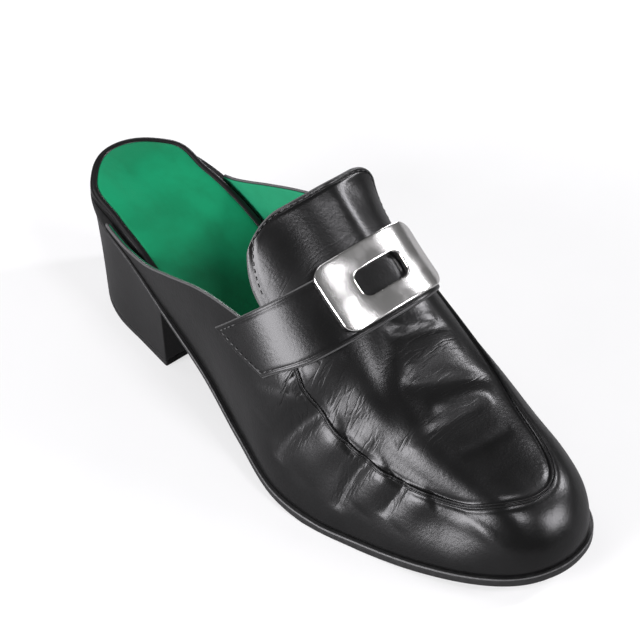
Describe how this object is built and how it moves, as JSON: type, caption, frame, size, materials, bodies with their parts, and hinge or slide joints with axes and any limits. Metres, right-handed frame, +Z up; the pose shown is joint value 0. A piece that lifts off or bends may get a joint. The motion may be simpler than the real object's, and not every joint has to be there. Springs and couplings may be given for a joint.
{
  "type": "mule shoe",
  "caption": "Black leather mule for the right foot, with a block heel, green footbed, standing tongue, saddle strap and plain metal frame.",
  "frame": {"origin": "middle of the shoe's box in plan, on the ground under the sole", "axes": "+Z up, -Y towards the toe, +X towards the inner (medial) side of the right foot"},
  "size_m": [0.0884, 0.2468, 0.103],
  "materials": {
    "sole": "smooth black sole leather with a burnished edge",
    "heel_cover": "smooth black leather drawn over the heel",
    "lift": "matt black rubber",
    "footbed": "smooth green sock leather with a black bound rim",
    "upper_leather": "glossy black calf with a soft grain",
    "lining": "green lining leather",
    "thread": "black stitching thread",
    "polished_metal": "mirror-polished silver-toned metal"
  },
  "bodies": {
    "root": {"outsole": "sole", "heel_block": "heel_cover", "top_lift": "lift", "insole": "footbed", "upper": "upper_leather", "tongue": "upper_leather", "saddle_strap": "upper_leather", "ornament": "polished_metal"}
  },
  "joints": []
}
